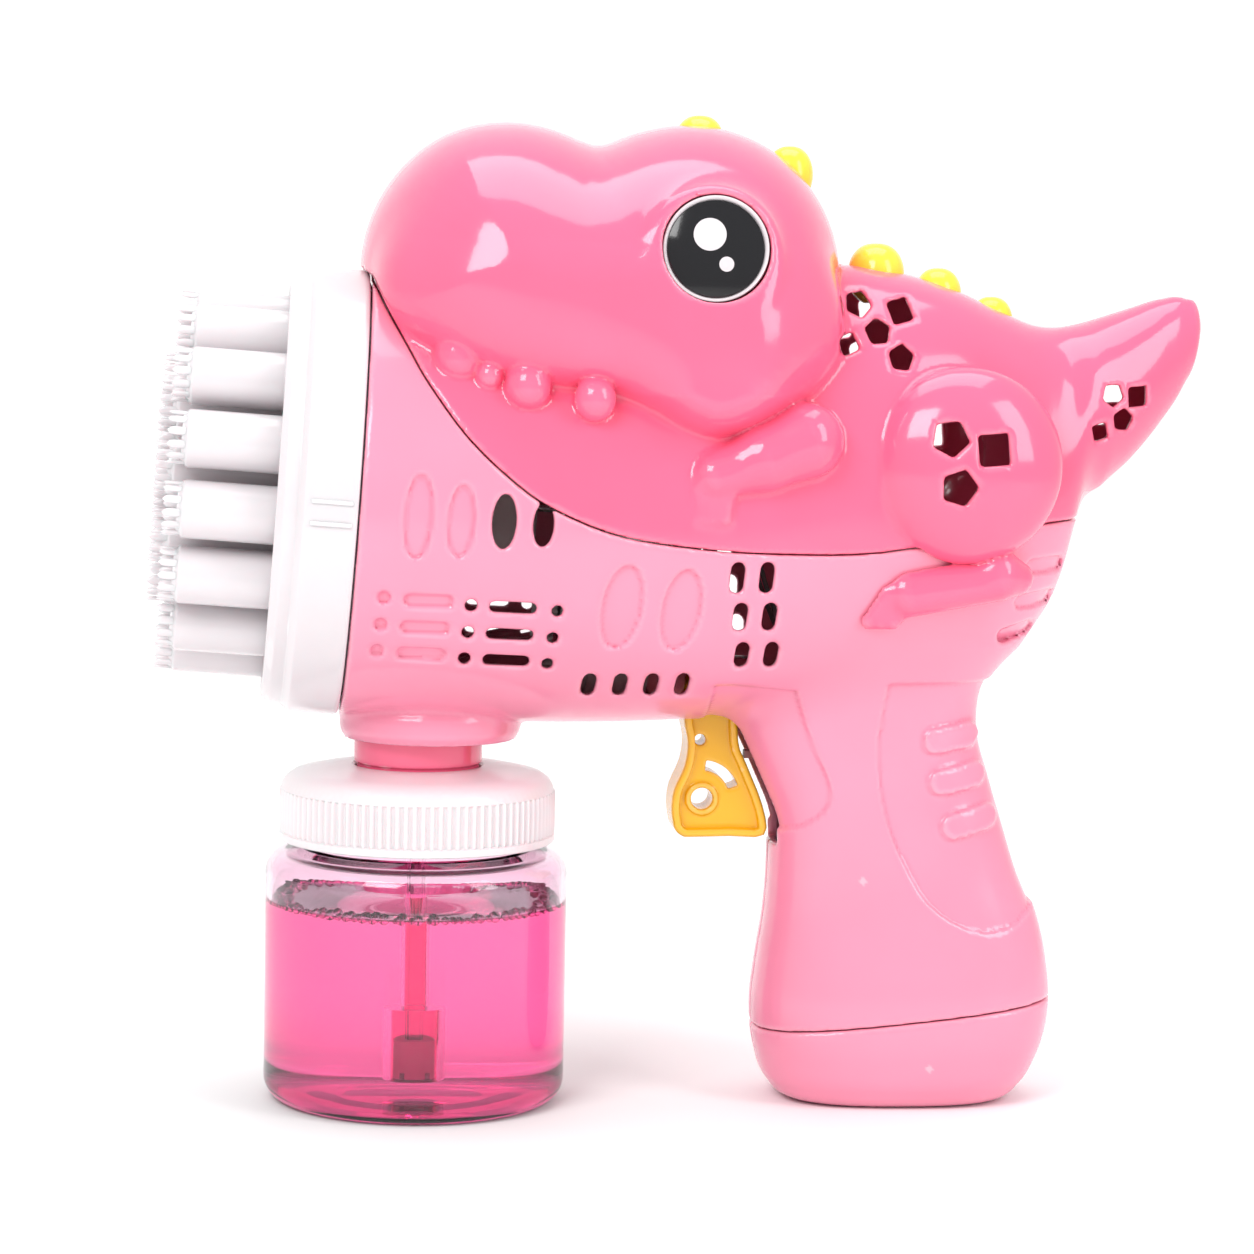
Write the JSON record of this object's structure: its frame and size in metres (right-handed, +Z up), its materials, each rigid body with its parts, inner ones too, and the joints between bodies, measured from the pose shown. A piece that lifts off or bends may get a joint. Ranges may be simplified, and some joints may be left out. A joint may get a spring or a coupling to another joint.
{
  "type": "bubble_machine",
  "caption": "Hand-held dinosaur bubble gun in pink plastic with a white nozzle head, a yellow trigger and a screw-on bottle of pink bubble solution",
  "frame": {"origin": "centre of the bottle's foot, on the floor", "axes": "+Z up, -X towards the nose and the nozzles, +X towards the tail, -Y the animal's left side"},
  "size_m": [0.2239, 0.0944, 0.2091],
  "materials": {
    "light_pink": "moulded, glossy",
    "hot_pink": "moulded, glossy",
    "white_gloss": "moulded, glossy",
    "white_matte": "moulded, satin",
    "cap_white": "translucent, moulded",
    "bottle_clear": "clear moulded plastic",
    "solution_pink": "clear tinted liquid",
    "yellow_gloss": "moulded, glossy",
    "spike_yellow": "moulded, glossy",
    "black_gloss": "painted, glossy",
    "steel": "zinc plated",
    "nickel": "nickel plated",
    "fan_blue": "moulded",
    "orange_plastic": "moulded",
    "dark_plastic": "moulded",
    "red_plastic": "moulded",
    "hose": "soft clear tube",
    "filter_grey": "moulded",
    "seal_foam": "soft foam",
    "battery_sleeve": "printed sleeve",
    "wire_red": "insulated wire"
  },
  "bodies": {
    "body": {"housing_left": "light_pink", "housing_right": "light_pink", "dino_left": "hot_pink", "dino_right": "hot_pink", "base_cap": "light_pink", "case_screws": "steel", "dino_screws": "steel", "front_ring": "white_gloss", "nozzle_head": "white_gloss", "distributor_plate": "white_matte", "air_duct": "white_matte", "fan_housing": "white_matte", "motor_can": "steel", "motor_end_cap": "dark_plastic", "gear_frame": "white_matte", "gear_axle": "steel", "pump_body": "white_matte", "pump_cover": "white_matte", "pump_tube": "hose", "suction_tube": "hose", "suction_filter": "filter_grey", "feed_tube": "hose", "neck_socket": "hot_pink", "cap_seal": "seal_foam", "trigger_pin": "steel", "trigger_spring": "steel", "switch_body": "dark_plastic", "battery_tray": "dark_plastic", "batteries": "battery_sleeve", "battery_springs": "steel", "battery_contacts": "nickel", "battery_wires": "wire_red", "motor_wires": "wire_red", "eye_left": "white_gloss", "eye_right": "white_gloss", "pupil_left": "black_gloss", "pupil_right": "black_gloss", "head_spikes": "spike_yellow", "back_spikes": "spike_yellow"},
    "trigger": {"trigger": "yellow_gloss"},
    "plunger": {"switch_plunger": "red_plastic"},
    "cap": {"bottle_cap": "cap_white"},
    "bottle": {"bottle": "bottle_clear", "bubble_solution": "solution_pink"},
    "rotor": {"motor_shaft": "steel", "fan_impeller": "fan_blue"},
    "reduction": {"reduction_gear": "white_matte"},
    "pump": {"pump_gear": "white_matte", "pump_rotor": "orange_plastic"},
    "roller_1": {"pump_roller_1": "steel"},
    "roller_2": {"pump_roller_2": "steel"},
    "roller_3": {"pump_roller_3": "steel"},
    "door": {"battery_door": "light_pink", "door_screw": "steel"}
  },
  "joints": [
    {"name": "trigger_pull", "type": "hinge", "parent": "body", "child": "trigger", "pos_m": [0.0625, 0, 0.09105], "axis": [0, -1, 0], "range_deg": [0, 8], "stiffness_Nm_per_rad": 0.6, "springref_deg": -2.86},
    {"name": "switch_press", "type": "slide", "parent": "body", "child": "plunger", "axis": [1, 0, 0], "range_m": [0, 0.0029]},
    {"name": "cap_turn", "type": "hinge", "parent": "body", "child": "cap", "pos_m": [0, 0, 0.0617], "axis": [0, 0, 1], "range_deg": [0, 540]},
    {"name": "bottle_drop", "type": "slide", "parent": "body", "child": "bottle", "axis": [0, 0, -1], "range_m": [0, 0.006]},
    {"name": "motor_spin", "type": "hinge", "parent": "body", "child": "rotor", "pos_m": [0.03071, 0, 0.12592], "axis": [-0.998, 0, 0.0628], "continuous": true},
    {"name": "reduction_spin", "type": "hinge", "parent": "body", "child": "reduction", "pos_m": [0.03087, 0, 0.11257], "axis": [-0.998, 0, 0.0628], "continuous": true},
    {"name": "pump_spin", "type": "hinge", "parent": "body", "child": "pump", "pos_m": [0.03009, 0, 0.1001], "axis": [-0.998, 0, 0.0628], "continuous": true},
    {"name": "roller_1_spin", "type": "hinge", "parent": "pump", "child": "roller_1", "pos_m": [0.04222, 0, 0.10665], "axis": [-0.998, 0, 0.0628], "continuous": true},
    {"name": "roller_2_spin", "type": "hinge", "parent": "pump", "child": "roller_2", "pos_m": [0.04154, 0.00632, 0.09572], "axis": [-0.998, 0, 0.0628], "continuous": true},
    {"name": "roller_3_spin", "type": "hinge", "parent": "pump", "child": "roller_3", "pos_m": [0.04154, -0.00632, 0.09572], "axis": [-0.998, 0, 0.0628], "continuous": true},
    {"name": "door_open", "type": "slide", "parent": "body", "child": "door", "axis": [0, 1, 0], "range_m": [0, 0.03]}
  ],
  "couplings": [
    {"joint": "switch_press", "follows": "trigger_pull", "m_per_rad": 0.02077},
    {"joint": "cap_turn", "follows": "bottle_drop", "rad_per_m": 1570.8},
    {"joint": "reduction_spin", "follows": "motor_spin", "ratio": -0.26316},
    {"joint": "pump_spin", "follows": "motor_spin", "ratio": 0.075188},
    {"joint": "roller_1_spin", "follows": "motor_spin", "ratio": -0.28629},
    {"joint": "roller_2_spin", "follows": "motor_spin", "ratio": -0.28629},
    {"joint": "roller_3_spin", "follows": "motor_spin", "ratio": -0.28629}
  ]
}
